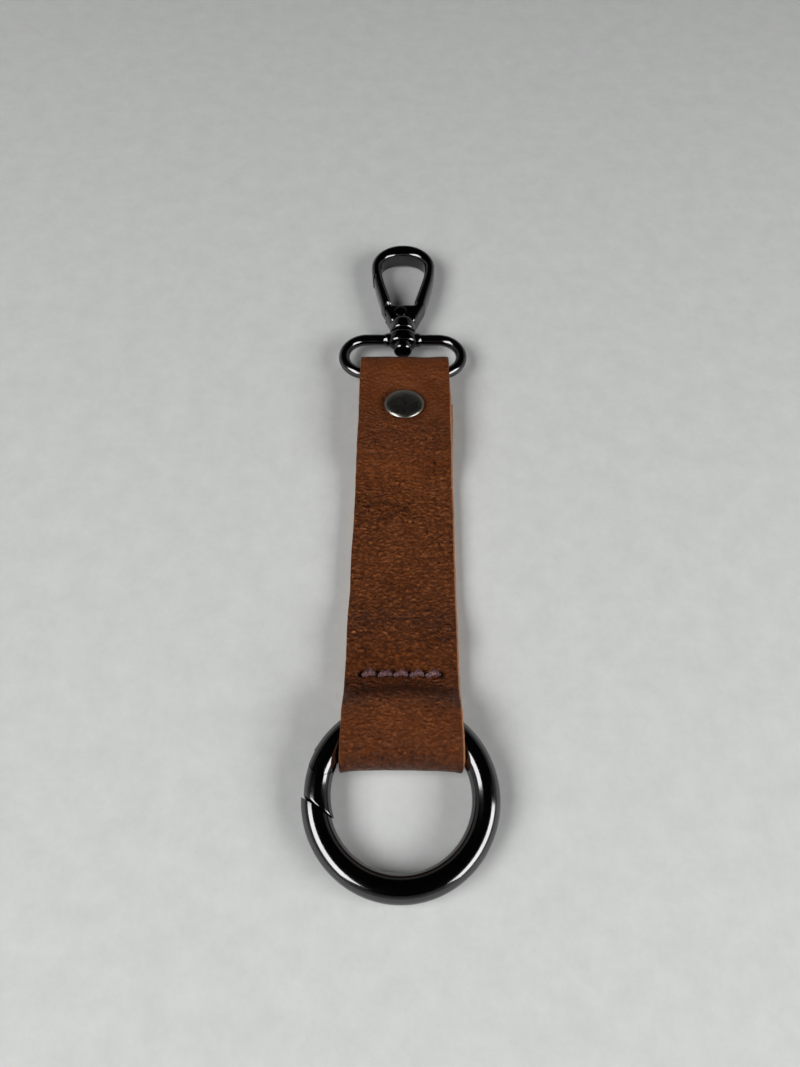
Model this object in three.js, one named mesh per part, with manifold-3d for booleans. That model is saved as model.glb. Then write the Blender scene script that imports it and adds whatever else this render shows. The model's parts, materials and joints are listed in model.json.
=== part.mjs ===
// Leather snap keychain: one leather strip folded round a spring gate ring at its near end
// and round the loop of a swivel snap hook at its far end. Millimetres, +Z up, strap along +Y.
import * as THREE from 'three';
import { mergeVertices } from 'three/addons/utils/BufferGeometryUtils.js';
import Module from 'manifold-3d';

const wasm = await Module();
wasm.setup();

// Driving sizes
const STRAP_REACH = 96.9;
const STRAP_WIDTH = 21.5;
const LEATHER = 1.5;
const RIVET_CAP = 9;
const RIVET_CAP_HEIGHT = 1.2;
const THREAD = 0.8;
const STITCH_PITCH = 3;
const STITCH_HOLES = 6;
const RING_INNER = 25;
const RING_WIRE = 5;
const LOOP_INNER = 25;
const LOOP_DEPTH = 10.8;
const LOOP_WIRE = 2.6;
const SWIVEL_PIN = 2.8;
const HOOK_LENGTH = 29.7;
const HOOK_WIDTH = 16.3;
const HOOK_THICK = 4.8;
const HOOK_ARM = 2.4;

// Stations along Y, counted from the centre of the ring; the strap reaches to the loop's near bar
const STITCH_MARGIN = 5.6;
const RIVET_MARGIN = 11.6;
const LOWER_LAP = 3.2;
const TAIL_LAP = 5.5;
const RAMP = 14.5;
const STITCH_Y = RING_INNER / 2 + RING_WIRE + STITCH_MARGIN;
const NEAR_BAR_Y = STRAP_REACH;
const RIVET_Y = NEAR_BAR_Y - RIVET_MARGIN;
const LOWER_END_Y = RIVET_Y + LOWER_LAP;
const TAIL_END_Y = RIVET_Y - TAIL_LAP;

// Clearances
const RUN_GAP = 0.3;
const FIT_GAP = 0.1;
const LAYER_GAP = 0.15;

// Tilts: the ring lies on the lower leather layer, the hook leans down to the table at its tip
const RING_TILT = THREE.MathUtils.degToRad(4);
const HOOK_TILT = THREE.MathUtils.degToRad(1.6);

const deg = THREE.MathUtils.degToRad;

function material(color, roughness, metalness) {
  return new THREE.MeshStandardMaterial({ color, roughness, metalness });
}

const leatherLook = () => material(0x5a2e1a, 0.6, 0);
const threadLook = () => material(0x6b4a48, 0.85, 0);
const gunmetalLook = () => material(0x2e2d30, 0.14, 1);
const rivetLook = () => material(0x35322f, 0.3, 1);
const springLook = () => material(0x8a8c8f, 0.3, 1);

// Solids: each is a closed body that can be joined to and cut by others
function solid(geometry) {
  const plain = geometry.index ? geometry.toNonIndexed() : geometry.clone();
  for (const name of ['normal', 'uv']) plain.deleteAttribute(name);
  const merged = mergeVertices(plain, 1e-5);
  const numbers = {
    numProp: 3,
    vertProperties: new Float32Array(merged.attributes.position.array),
    triVerts: new Uint32Array(merged.index.array),
  };
  return new wasm.Manifold(new wasm.Mesh(numbers));
}

function node(name, body, look) {
  const mesh = body.getMesh();
  const geometry = new THREE.BufferGeometry();
  geometry.setAttribute('position', new THREE.BufferAttribute(new Float32Array(mesh.vertProperties), 3));
  geometry.setIndex(new THREE.BufferAttribute(new Uint32Array(mesh.triVerts), 1));
  geometry.computeVertexNormals();
  const made = new THREE.Mesh(geometry, look);
  made.name = name;
  return made;
}

// A turned body about Z, from [radius, height] points that start and end on the axis
function turnedZ(points, sides = 32) {
  const profile = points.map(([radius, height]) => new THREE.Vector2(radius, height));
  return solid(new THREE.LatheGeometry(profile, sides).rotateX(Math.PI / 2));
}

function turnedY(points, sides = 32) {
  const profile = points.map(([radius, height]) => new THREE.Vector2(radius, height));
  return solid(new THREE.LatheGeometry(profile, sides));
}

function rodZ(x, y, radius, low, high, sides = 24) {
  const rod = new THREE.CylinderGeometry(radius, radius, high - low, sides).rotateX(Math.PI / 2);
  return solid(rod.translate(x, y, (low + high) / 2));
}

function rodY(radius, near, far, sides = 24) {
  const rod = new THREE.CylinderGeometry(radius, radius, far - near, sides);
  return solid(rod.translate(0, (near + far) / 2, 0));
}

// A straight-sided block over a plan outline, from height low to height high
function prism(points, low, high) {
  const outline = new THREE.Shape(points.map(([x, y]) => new THREE.Vector2(x, y)));
  const block = new THREE.ExtrudeGeometry(outline, { depth: high - low, bevelEnabled: false });
  return solid(block.translate(0, 0, low));
}

function circleShape(radius, sides) {
  const corners = [];
  for (let i = 0; i < sides; i += 1) {
    const angle = (2 * Math.PI * i) / sides;
    corners.push(new THREE.Vector2(radius * Math.cos(angle), radius * Math.sin(angle)));
  }
  return new THREE.Shape(corners);
}

function wireAlong(curve, radius, steps, sides) {
  const settings = { extrudePath: curve, steps, bevelEnabled: false };
  return solid(new THREE.ExtrudeGeometry(circleShape(radius, sides), settings));
}

// A closed round wire lying flat, from [x, y, outward x, outward y] stations
function closedWire(stations, radius, sides) {
  const positions = [];
  const index = [];
  for (const [x, y, nx, ny] of stations) {
    for (let k = 0; k < sides; k += 1) {
      const angle = (2 * Math.PI * k) / sides;
      const out = radius * Math.cos(angle);
      positions.push(x + out * nx, y + out * ny, radius * Math.sin(angle));
    }
  }
  for (let i = 0; i < stations.length; i += 1) {
    const next = (i + 1) % stations.length;
    for (let k = 0; k < sides; k += 1) {
      const turn = (k + 1) % sides;
      const a = i * sides + k;
      const b = next * sides + k;
      const c = next * sides + turn;
      const d = i * sides + turn;
      index.push(a, b, c, a, c, d);
    }
  }
  const wire = new THREE.BufferGeometry();
  wire.setAttribute('position', new THREE.Float32BufferAttribute(positions, 3));
  wire.setIndex(index);
  return solid(wire);
}

class Helix extends THREE.Curve {
  constructor(x, y, radius, low, high, turns) {
    super();
    Object.assign(this, { x, y, radius, low, high, turns });
  }

  getPoint(t, target = new THREE.Vector3()) {
    const angle = 2 * Math.PI * this.turns * t;
    const height = this.low + (this.high - this.low) * t;
    const side = this.radius * Math.cos(angle);
    return target.set(this.x + side, this.y + this.radius * Math.sin(angle), height);
  }
}

// Heights shared by the strap and what it holds
const HALF = LEATHER / 2;
const RING_R = (RING_INNER + RING_WIRE) / 2;
const RING_HALF = RING_WIRE / 2;
const RING_Z = RING_HALF + RING_R * Math.sin(RING_TILT);
const BAR_HALF = LOOP_WIRE / 2;
const BAR_Z = LEATHER + 2.1;
const BAR_SLACK = 0.45;

const stitchLow = THREAD + LAYER_GAP;
const seamZ = stitchLow + LEATHER + LAYER_GAP / 2;
const stitchTop = stitchLow + 2 * LEATHER + LAYER_GAP;
const rivetLow = RIVET_CAP_HEIGHT + LAYER_GAP;
const rivetTop = rivetLow + 3 * LEATHER + 2 * LAYER_GAP;

// Ring loop of the strap: the fold must clear the ring where it leaves the strap's edges
const foldInner = Math.sqrt((RING_INNER / 2) ** 2 - (STRAP_WIDTH / 2) ** 2) * Math.cos(RING_TILT);
const foldRise = 0.72 * RING_R * Math.sin(RING_TILT);
const cavityTop = RING_Z + foldRise + RING_HALF + 1.4 * RUN_GAP;
const foldRadius = (cavityTop - LEATHER) / 2;
const foldY = foldInner - RUN_GAP + foldRadius;
const foldZ = LEATHER + foldRadius;

function strapCentreline() {
  const lowFlat = HALF;
  const lowStitch = stitchLow + HALF;
  const lowRivet = rivetLow + HALF;
  const topFlat = LEATHER + LAYER_GAP + HALF;
  const topStitch = stitchTop - HALF;
  const topRivet = rivetTop - HALF;
  const tail = rivetLow + LEATHER + LAYER_GAP + HALF;
  const barWrap = BAR_HALF + RUN_GAP + BAR_SLACK + HALF;
  const barFoldY = NEAR_BAR_Y + BAR_SLACK;
  const lowStep = RIVET_Y - RIVET_CAP / 2 - 0.5;
  const topStep = TAIL_END_Y - 1;
  const lowDip = STITCH_Y - 7.9;

  const path = new THREE.Path();
  const ease = (y, z) => {
    const middle = (path.currentPoint.x + y) / 2;
    path.bezierCurveTo(middle, path.currentPoint.y, middle, z, y, z);
  };
  // lower layer, from its cut end by the rivet to the ring
  path.moveTo(LOWER_END_Y, lowRivet);
  path.lineTo(lowStep, lowRivet);
  ease(lowStep - RAMP, lowFlat);
  path.lineTo(STITCH_Y + 10, lowFlat);
  ease(STITCH_Y + 2.4, lowStitch);
  path.lineTo(STITCH_Y - 2, lowStitch);
  ease(lowDip, lowFlat);
  path.lineTo(foldY, lowFlat);
  // fold, then over the ring and down to the stitches
  path.absarc(foldY, foldZ, foldRadius + HALF, -Math.PI / 2, Math.PI / 2, true);
  const overY = RING_R * Math.cos(RING_TILT);
  const overZ = RING_Z + RING_R * Math.sin(RING_TILT);
  const over = RING_HALF + RUN_GAP + HALF;
  ease(overY, overZ + over);
  const leave = deg(42);
  path.absarc(overY, overZ, over, Math.PI / 2, leave, true);
  const start = path.currentPoint.clone();
  const footY = STITCH_Y - 1.8;
  const pull = 2;
  path.bezierCurveTo(start.x + pull * Math.sin(leave), start.y - pull * Math.cos(leave),
    footY - pull, topStitch, footY, topStitch);
  path.lineTo(STITCH_Y + 1.6, topStitch);
  ease(STITCH_Y + 6, topStitch + 0.6);
  ease(STITCH_Y + 18, topFlat);
  path.lineTo(topStep - RAMP, topFlat);
  // up over the tail, round the loop's near bar and back under the rivet
  ease(topStep, topRivet);
  path.lineTo(RIVET_Y + RIVET_CAP / 2, topRivet);
  ease(barFoldY, BAR_Z + barWrap);
  path.absarc(barFoldY, BAR_Z, barWrap, Math.PI / 2, -Math.PI / 2, true);
  ease(LOWER_END_Y + 1.2, tail);
  path.lineTo(TAIL_END_Y, tail);
  return path;
}

function strapOutline() {
  const points = [];
  for (const point of strapCentreline().getPoints(9)) {
    const last = points[points.length - 1];
    if (!last || last.distanceTo(point) > 0.05) points.push(point);
  }
  const left = [];
  const right = [];
  points.forEach((point, i) => {
    const before = points[Math.max(i - 1, 0)];
    const after = points[Math.min(i + 1, points.length - 1)];
    const along = after.clone().sub(before).normalize();
    left.push(new THREE.Vector2(point.x - HALF * along.y, point.y + HALF * along.x));
    right.push(new THREE.Vector2(point.x + HALF * along.y, point.y - HALF * along.x));
  });
  return new THREE.Shape([...left, ...right.reverse()]);
}

const stitchX = (i) => (i - (STITCH_HOLES - 1) / 2) * STITCH_PITCH;

function leatherStrap() {
  const strip = new THREE.ExtrudeGeometry(strapOutline(), { depth: STRAP_WIDTH, bevelEnabled: false });
  const toPart = new THREE.Matrix4().makeBasis(
    new THREE.Vector3(0, 1, 0), new THREE.Vector3(0, 0, 1), new THREE.Vector3(1, 0, 0));
  strip.applyMatrix4(toPart).translate(-STRAP_WIDTH / 2, 0, 0);
  let body = solid(strip);
  body = body.subtract(rodZ(0, RIVET_Y, rivetTubeR + 2 * FIT_GAP, 0.5, rivetTop + 1));
  for (let i = 0; i < STITCH_HOLES; i += 1) {
    body = body.subtract(rodZ(stitchX(i), STITCH_Y, THREAD / 2 + 2 * FIT_GAP, -1, stitchTop + 1, 12));
  }
  return body;
}

// Stitches: each thread arches between holes and meets the other inside the leather
function stitchThread(legZ, archZ) {
  const toArch = Math.sign(archZ - legZ);
  const bend = 0.45;
  let thread = null;
  for (let i = 0; i + 1 < STITCH_HOLES; i += 1) {
    const from = stitchX(i);
    const to = stitchX(i + 1);
    const shoulder = archZ - toArch * bend;
    const spots = [[from, legZ], [from, shoulder], [from + bend, archZ],
      [to - bend, archZ], [to, shoulder], [to, legZ]];
    const curve = new THREE.CatmullRomCurve3(spots.map(([x, z]) => new THREE.Vector3(x, STITCH_Y, z)));
    const stitch = wireAlong(curve, THREAD / 2, 12, 6);
    thread = thread ? thread.add(stitch) : stitch;
  }
  return thread;
}

// Double-cap rivet: the top cap carries a tube that closes over the post of the lower cap
const rivetPostR = 1.35;
const rivetTubeR = 1.9;

function rivetCap() {
  const seat = rivetTop + LAYER_GAP;
  const inner = rivetPostR + FIT_GAP;
  const edge = RIVET_CAP / 2;
  const cap = turnedZ([
    [0, seat + 0.35], [inner, seat + 0.35], [inner, rivetLow + 1], [rivetTubeR, rivetLow + 1],
    [rivetTubeR, seat], [edge - 0.35, seat], [edge, seat + 0.35], [edge - 0.12, seat + 0.75],
    [edge - 0.8, seat + 1.08], [edge - 2.2, seat + 1.22], [0, seat + 1.3],
  ]);
  return cap.translate([0, RIVET_Y, 0]);
}

function rivetPost() {
  const edge = RIVET_CAP / 2;
  const top = RIVET_CAP_HEIGHT;
  const post = turnedZ([
    [0, 0], [edge - 2, 0], [edge - 0.7, 0.16], [edge - 0.1, 0.5], [edge, top - 0.35],
    [edge - 0.35, top], [rivetPostR, top], [rivetPostR, rivetTop - 0.2], [0, rivetTop - 0.2],
  ]);
  return post.translate([0, RIVET_Y, 0]);
}

// Gate ring, drawn flat about its own centre
const hingeAngle = deg(156);
const hinge = [RING_R * Math.cos(hingeAngle), RING_R * Math.sin(hingeAngle)];
const earR = RING_HALF + 0.1;
const tongueR = RING_HALF - 0.2;
const ringSlot = { low: -1.25, high: 1.25 };
const ringTongue = { low: -0.95, high: 0.15 };
const ringPinR = 0.8;

function ringWire() {
  const stations = [];
  const count = 60;
  for (let i = 0; i < count; i += 1) {
    const angle = (2 * Math.PI * i) / count;
    const [c, s] = [Math.cos(angle), Math.sin(angle)];
    stations.push([RING_R * c, RING_R * s, c, s]);
  }
  return closedWire(stations, RING_HALF, 16);
}

// The part of the ring that swings: from the hinge to a nose cut slanting inwards
function gateSector(shift) {
  const outer = new THREE.Vector2(-RING_R - RING_HALF, 0);
  const noseAngle = deg(200);
  const inner = new THREE.Vector2(Math.cos(noseAngle), Math.sin(noseAngle)).multiplyScalar(RING_INNER / 2);
  const along = inner.clone().sub(outer).normalize();
  const toGate = new THREE.Vector2(-along.y, along.x);
  const at = (base, distance) => {
    const point = base.clone().addScaledVector(along, distance).addScaledVector(toGate, shift);
    return [point.x, point.y];
  };
  const ray = (radius) => [radius * Math.cos(hingeAngle), radius * Math.sin(hingeAngle)];
  return prism([ray(RING_R - 8), ray(RING_R + 8), at(outer, -6), at(inner, 5)], -4, 4);
}

function ringBody() {
  const ears = ringWire().intersect(rodZ(...hinge, earR, -4, 4));
  return ringWire()
    .subtract(gateSector(-RUN_GAP / 2))
    .add(ears)
    .subtract(rodZ(...hinge, earR + 0.05, ringSlot.low, ringSlot.high))
    .subtract(rodZ(...hinge, ringPinR + FIT_GAP, -4, 4));
}

function ringGate() {
  const arm = ringWire()
    .intersect(gateSector(RUN_GAP / 2))
    .subtract(rodZ(...hinge, earR + RUN_GAP, ringTongue.high, 4))
    .subtract(rodZ(...hinge, earR + RUN_GAP, -4, ringTongue.low));
  const tongue = ringWire().intersect(rodZ(...hinge, tongueR, ringTongue.low, ringTongue.high));
  return arm.add(tongue).subtract(rodZ(...hinge, ringPinR + 1.5 * FIT_GAP, -4, 4));
}

function gateSpring([x, y], pinRadius, low, high) {
  const wire = 0.17;
  const coil = new Helix(x, y, pinRadius + 2 * FIT_GAP + wire, low + FIT_GAP + wire, high - FIT_GAP - wire, 2);
  return wireAlong(coil, wire, 48, 6);
}

// Swivel hook, drawn flat with its near bar on the X axis and its tip towards +Y
const farBarY = LOOP_DEPTH;
const swivelR = SWIVEL_PIN / 2;
const eyeWall = 0.9;
const eyeR = swivelR + RUN_GAP + eyeWall;
const eyeBulge = 1.35;
const eyeHalf = BAR_HALF + 0.4;
const eyeY = [farBarY - eyeHalf, farBarY + eyeHalf];
const neckY = eyeY[1] + RUN_GAP;
const neckLength = 2.2;
const blockY = neckY + neckLength;
const blockLength = 5;
const openingY = blockY + blockLength;
const hookTipY = neckY + HOOK_LENGTH;
const hookHalf = HOOK_THICK / 2;
const hookHeadR = HOOK_WIDTH / 2;
const headY = hookTipY - 0.98 * hookHeadR;
const crown = 1.46 * HOOK_ARM;
const openingHeadR = hookHeadR - HOOK_ARM;
const blockFoot = eyeR + eyeWall;
const blockShoulder = blockFoot + 1.9;
const openingFoot = blockShoulder - 1.08 * HOOK_ARM;
const openingCorner = 1.2;
const hookTongueR = 2.3;
const pivot = [-0.6, blockY + hookTongueR + swivelR / 2];
const blockR = blockFoot + 0.2;
const hookSlot = { low: -1.5, high: 1.5 };
const hookTongue = { low: -1.2, high: 0.3 };
const hookPinR = 0.8;
const swivelEndY = pivot[1] - hookTongueR - 2 * RUN_GAP;

function hookLoop() {
  const endR = LOOP_DEPTH / 2;
  const straight = LOOP_INNER / 2 + BAR_HALF - endR;
  const stations = [];
  const perEnd = 14;
  for (const side of [1, -1]) {
    for (let i = 0; i <= perEnd; i += 1) {
      const angle = Math.PI * (i / perEnd) - (side * Math.PI) / 2;
      const [c, s] = [Math.cos(angle), Math.sin(angle)];
      stations.push([side * straight + endR * c, endR + endR * s, c, s]);
    }
  }
  const [near, far] = eyeY;
  const [brim, slope] = [eyeR - 0.4, 0.7];
  const eye = new THREE.LatheGeometry(
    [[0, near], [brim, near], [eyeR, near + slope], [eyeR, far - slope], [brim, far], [0, far]]
      .map(([radius, y]) => new THREE.Vector2(radius, y)), 32);
  eye.scale(eyeBulge, 1, 1);
  return closedWire(stations, BAR_HALF, 16)
    .add(solid(eye))
    .subtract(rodY(swivelR + RUN_GAP, near - 2, far + 2));
}

function swivelPin() {
  const seat = eyeY[0] - RUN_GAP;
  const headR = swivelR + 0.8;
  return turnedY([
    [0, seat - 2], [headR - 0.7, seat - 1.9], [headR - 0.15, seat - 1.4], [headR, seat - 0.5],
    [headR - 0.1, seat], [swivelR, seat], [swivelR, swivelEndY], [0, swivelEndY],
  ], 28);
}

// The hook's full outline with its opening, rounded over its edges
function hookBlank() {
  const edge = 0.7;
  // one side of an outline between its foot and its head, drawn upwards or downwards
  const side = (path, footX, footY, headX, upwards) => {
    const rise = headY - footY;
    const low = [footX + 0.4 * (headX - footX), footY + 0.37 * rise];
    const high = [headX, footY + 0.7 * rise];
    if (upwards) path.bezierCurveTo(...low, ...high, headX, headY);
    else path.bezierCurveTo(...high, ...low, footX, footY);
  };
  const outline = new THREE.Shape();
  const [foot, shoulder, head] = [blockFoot - edge, blockShoulder - edge, hookHeadR - edge];
  outline.moveTo(-foot, blockY + edge);
  outline.lineTo(foot, blockY + edge);
  outline.lineTo(shoulder, openingY);
  side(outline, shoulder, openingY, head, true);
  outline.absellipse(0, headY, head, hookTipY - headY - edge, 0, Math.PI, false);
  side(outline, -shoulder, openingY, -head, false);
  outline.closePath();
  const opening = new THREE.Path();
  const [mouth, inside, floor] = [openingFoot + edge, openingHeadR + edge, openingY - edge];
  const cornerY = openingY + openingCorner;
  opening.moveTo(openingCorner - mouth, floor);
  opening.lineTo(mouth - openingCorner, floor);
  opening.quadraticCurveTo(mouth, floor, mouth, cornerY);
  side(opening, mouth, cornerY, inside, true);
  opening.absellipse(0, headY, inside, hookTipY - crown - headY + edge, 0, Math.PI, false);
  side(opening, -mouth, cornerY, -inside, false);
  opening.quadraticCurveTo(-mouth, floor, openingCorner - mouth, floor);
  outline.holes.push(opening);
  const settings = {
    depth: 2 * (hookHalf - edge), curveSegments: 10,
    bevelThickness: edge, bevelSize: edge, bevelSegments: 2,
  };
  const blank = new THREE.ExtrudeGeometry(outline, settings);
  return solid(blank.translate(0, 0, -(hookHalf - edge)));
}

// Plan of the left arm that swings, up to a nose cut slanting inwards
function hookGatePlan(shift) {
  const cut = deg(55);
  const along = [Math.cos(cut), Math.sin(cut)];
  const toGate = [Math.sin(cut), -Math.cos(cut)];
  const nose = [0.55 * HOOK_ARM - hookHeadR, headY - 0.22 * (headY - openingY)];
  const at = (distance) => [
    nose[0] + distance * along[0] + shift * toGate[0],
    nose[1] + distance * along[1] + shift * toGate[1],
  ];
  const wide = HOOK_WIDTH;
  const inner = pivot[0] - 0.9;
  const below = nose[1] - HOOK_ARM;
  return prism([[-wide, pivot[1]], [inner, pivot[1]], [inner, below], at(5), at(-5), [-wide, below]], -4, 4);
}

function hookBody() {
  const wide = HOOK_WIDTH;
  const right = pivot[0] + 0.9;
  const [sweepLow, sweepHigh] = [pivot[1] - RUN_GAP, openingY + 5];
  const sweep = prism([[-wide, sweepLow], [right, sweepLow], [right, sweepHigh], [-wide, sweepHigh]],
    hookSlot.low, hookSlot.high);
  const tongueRoom = rodZ(...pivot, hookTongueR + RUN_GAP, hookSlot.low, hookSlot.high);
  const neck = turnedY([
    [0, neckY], [eyeR - 0.2, neckY], [eyeR, neckY + 0.3], [eyeR, blockY - 1], [eyeR + 0.4, blockY],
    [eyeR - 0.3, blockY + 1.2], [0, blockY + 1.2],
  ]);
  const swivelBore = rodY(swivelR + FIT_GAP, neckY - 2, swivelEndY + FIT_GAP);
  return hookBlank()
    .subtract(hookGatePlan(-RUN_GAP / 2).subtract(rodZ(...pivot, blockR, -4, 4)))
    .add(neck)
    .subtract(sweep)
    .subtract(tongueRoom)
    .subtract(swivelBore)
    .subtract(rodZ(...pivot, hookPinR + FIT_GAP, -4, 4));
}

function hookGate() {
  const plan = hookBlank().intersect(hookGatePlan(RUN_GAP / 2));
  const room = blockR + RUN_GAP;
  const arm = plan
    .subtract(rodZ(...pivot, room, hookTongue.high, 4))
    .subtract(rodZ(...pivot, room, -4, hookTongue.low));
  const tongue = rodZ(...pivot, hookTongueR, hookTongue.low, hookTongue.high);
  return arm.add(tongue).subtract(rodZ(...pivot, hookPinR + 1.5 * FIT_GAP, -4, 4));
}

function hookGatePin() {
  const seat = hookHalf + FIT_GAP;
  const [x, y] = pivot;
  const headR = hookPinR + 0.7;
  const pin = turnedZ([
    [0, -hookHalf], [hookPinR, -hookHalf], [hookPinR, seat], [headR, seat], [headR, seat + 0.2],
    [headR - 0.4, seat + 0.5], [0, seat + 0.62],
  ], 24);
  return pin.translate([x, y, 0]);
}

// Assembly
const keychain = new THREE.Group();
keychain.name = 'leather_snap_keychain';

keychain.add(
  node('leather_strap', leatherStrap(), leatherLook()),
  node('stitch_thread_upper', stitchThread(seamZ + LAYER_GAP, stitchTop + 0.05 + THREAD / 2), threadLook()),
  node('stitch_thread_lower', stitchThread(seamZ - LAYER_GAP, stitchLow - 0.05 - THREAD / 2), threadLook()),
  node('rivet_cap', rivetCap(), rivetLook()),
  node('rivet_post', rivetPost(), rivetLook()),
);

const ring = new THREE.Group();
ring.position.set(0, 0, RING_Z);
ring.rotation.x = RING_TILT;
ring.add(
  node('ring_body', ringBody(), gunmetalLook()),
  node('ring_gate', ringGate(), gunmetalLook()),
  node('ring_hinge_pin', rodZ(...hinge, ringPinR, -RING_HALF + 0.15, RING_HALF - 0.15), gunmetalLook()),
  node('ring_gate_spring', gateSpring(hinge, ringPinR, ringTongue.high, ringSlot.high), springLook()),
);
keychain.add(ring);

const hook = new THREE.Group();
hook.position.set(0, NEAR_BAR_Y, BAR_Z);
hook.rotation.x = -HOOK_TILT;
hook.add(
  node('hook_loop', hookLoop(), gunmetalLook()),
  node('swivel_pin', swivelPin(), gunmetalLook()),
  node('hook_body', hookBody(), gunmetalLook()),
  node('hook_gate', hookGate(), gunmetalLook()),
  node('hook_gate_pin', hookGatePin(), gunmetalLook()),
  node('hook_gate_spring', gateSpring(pivot, hookPinR, hookTongue.high, hookSlot.high), springLook()),
);
keychain.add(hook);

// The part's frame has its origin under the middle of the whole keychain, on the table
keychain.updateMatrixWorld(true);
const box = new THREE.Box3().setFromObject(keychain, true);
const middle = box.getCenter(new THREE.Vector3());
keychain.position.set(0, -middle.y, -box.min.z);
keychain.updateMatrixWorld(true);

export default keychain;
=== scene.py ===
import json
import math

import bmesh
import bpy
import numpy as np
from mathutils import Matrix, Vector


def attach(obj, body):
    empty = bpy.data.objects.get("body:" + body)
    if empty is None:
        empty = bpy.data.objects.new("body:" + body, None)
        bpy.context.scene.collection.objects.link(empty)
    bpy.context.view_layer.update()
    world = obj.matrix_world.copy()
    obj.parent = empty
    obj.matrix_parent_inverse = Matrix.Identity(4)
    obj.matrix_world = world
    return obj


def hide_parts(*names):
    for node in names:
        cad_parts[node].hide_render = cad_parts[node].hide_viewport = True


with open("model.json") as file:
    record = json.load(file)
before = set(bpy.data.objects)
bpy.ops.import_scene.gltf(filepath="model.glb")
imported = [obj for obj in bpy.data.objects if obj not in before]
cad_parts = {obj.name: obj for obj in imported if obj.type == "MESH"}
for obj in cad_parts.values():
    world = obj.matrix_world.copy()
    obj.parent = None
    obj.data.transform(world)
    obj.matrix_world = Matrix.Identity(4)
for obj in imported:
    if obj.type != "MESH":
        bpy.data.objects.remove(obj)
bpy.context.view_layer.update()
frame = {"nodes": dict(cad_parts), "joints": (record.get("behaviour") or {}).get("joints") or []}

# Lengths are in millimetres until a mesh is made; the frame is in metres.
MM = 0.001
SAME_POINT = 0.003  # corners of a mesh nearer than this are one
THROUGH = 4.0  # how far a cut goes from the middle plane, past every metal piece
BEYOND = 5.0  # how far a rod goes that trims such a cut
nodes = frame["nodes"]
joints = {joint["name"]: joint for joint in frame["joints"]}
collection = bpy.context.scene.collection

# Camera: in front of the ring, looking down on the strap; the image is 800 by 1067
CAMERA_PLACE = (0.00007, -0.09799, 0.157)
CAMERA_DOWN = 59.4
CAMERA_YAW = 0.295
FOCAL_PIXELS = 860
IMAGE_HEIGHT = 1067
SENSOR = 36

# Soft panels at both sides, seen from the ring's centre: place, length along Y, width; metres
LAMPS = {
    "panel_left": ((-0.60, -0.40, 0.62), 0.90, 0.46),
    "panel_right": ((0.60, -0.36, 0.38), 0.80, 0.34),
}
LAMP_RADIANCE = 8.0

# Strap, along its own line from the ring's centre
STRAP_WIDTH = 21.5
LEATHER = 1.5
HALF = LEATHER / 2
THREAD = 0.8
STITCH_PITCH = 3.0
STITCH_HOLES = 6
STITCH_Y = 22.7
NEAR_BAR_Y = 96.9
RIVET_Y = 85.7
LOWER_END_Y = 88.5
TAIL_END_Y = 79.8
RAMP = 14.5
RIVET_CAP = 9.0
RIVET_CAP_HEIGHT = 1.2
RIVET_LEAN = 0.11
HOOK_END_SHIFT = 0.4
LAYER_GAP = 0.15
RUN_GAP = 0.3
FIT_GAP = 0.1
BAR_SLACK = 0.45
LINE_STEP = 0.1
STRIP_STEP = 0.27

# Half widths of the strap against Y, on top and in the lower layer
TOP_WIDTHS = ([4, 14, 24, 40, 60, 78, 92, 100], [10.9, 10.8, 10.65, 10.5, 10.4, 10.2, 10.3, 10.1])
LOW_WIDTHS = ([4, 14, 40, 100], [10.9, 10.65, 10.35, 10.1])
# The grain's coarseness against Y: full in the middle, nearly smooth towards the hook
COARSENESS = ([8, 20, 32, 58, 76, 86], [0.55, 0.7, 1.0, 1.0, 0.5, 0.26])
# The grain's height lightens its colour: partly the valleys' own darker colour, partly painted shade in them
GRAIN_TONE = 0.62  # how far the grain's height lightens its colour
# Relief of the leather: waves and nicks of its edges, pebbles, wrinkles, seam, stitch holes, round the rivet
EDGE_WAVE = 0.09
EDGE_NICK = 0.03
PEBBLE_DEPTH = 0.03
WRINKLE_DEPTH = 0.16
SEAM_DEPTH = 0.16
HOLE_DEPTH = 0.7
RIVET_DENT = 0.14
# Lighter or darker than the rest: a painted sheen over the ring, painted shade on the front of its fold and
# on the slope below the seam, lighter midway, darker towards the hook
RING_PAINTED_SHEEN = 0.02
FOLD_PAINTED_SHADE = -0.19
HOLLOW_PAINTED_SHADE = -0.1
MIDDLE_TONE = 0.09
HOOK_END_TONE = -0.08
GRAIN_SIDE, CUT_EDGE, FLESH_SIDE = 0, 1, 2

# Gate ring, drawn flat about its own centre
RING_R = 15.0
RING_HALF = 2.5
HINGE_ANGLE = math.radians(156)
HINGE = (RING_R * math.cos(HINGE_ANGLE), RING_R * math.sin(HINGE_ANGLE))
NOSE_ANGLE = math.radians(200)
SEAM = 0.09
GATE_PLAY = math.radians(3.2)
RING_EAR = RING_HALF + 0.1
RING_TONGUE = RING_HALF - 0.2
RING_PIN_R = 0.8
RING_PIN_END = 1.8
RING_SLOT = (-1.25, 1.25)
RING_LEAF = (-0.95, 0.15)
RING_LIP = -0.6  # below this height the seam is narrower
NOSE_OUTER = Vector((-RING_R - RING_HALF, 0))
NOSE_INNER = Vector((math.cos(NOSE_ANGLE), math.sin(NOSE_ANGLE))) * (RING_R - RING_HALF)
NOSE_ALONG = (NOSE_INNER - NOSE_OUTER).normalized()
TO_GATE = Vector((-NOSE_ALONG.y, NOSE_ALONG.x))

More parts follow.
